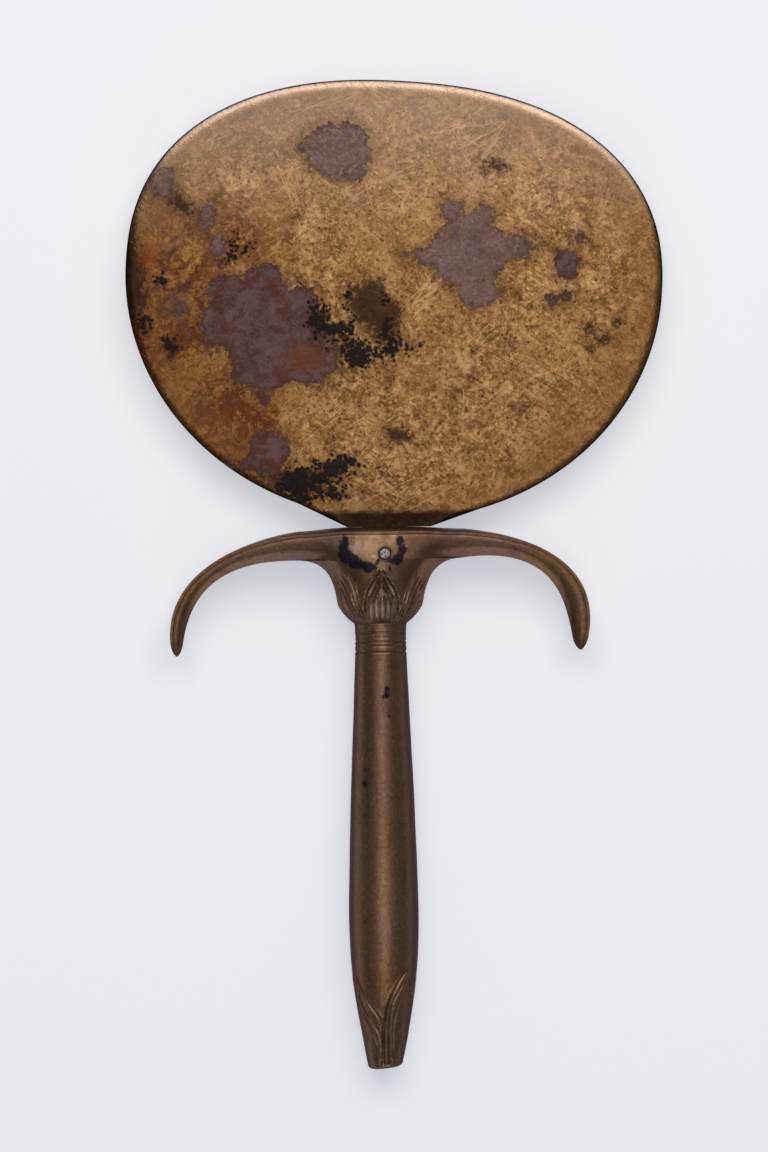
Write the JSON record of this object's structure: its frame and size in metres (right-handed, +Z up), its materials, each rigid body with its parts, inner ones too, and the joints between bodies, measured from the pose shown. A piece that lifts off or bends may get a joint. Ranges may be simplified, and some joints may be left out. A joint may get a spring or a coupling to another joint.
{
  "type": "bronze mirror",
  "caption": "Hand mirror with a broad flattened-oval bronze disk and a cast handle shaped as a papyrus stem with a drooping umbel, lying on its back.",
  "frame": {"origin": "middle of the footprint, on the surface the mirror lies on", "axes": "+Y along the handle towards the disk, +X across the disk, +Z up out of the mirror's face"},
  "size_m": [0.1304, 0.2402, 0.0208],
  "materials": {
    "disk_bronze": "golden bronze, worn and scratched, with purple-brown patina patches, black crust and a smooth bevelled edge",
    "handle_bronze": "dark brown bronze, semi-gloss from handling, with blue-black patches by the rivet and small casting pits",
    "rivet_metal": "dull pale grey corroded pin, dark round its edge"
  },
  "bodies": {
    "root": {"mirror_disk": "disk_bronze", "handle": "handle_bronze", "rivet": "rivet_metal"}
  },
  "joints": []
}
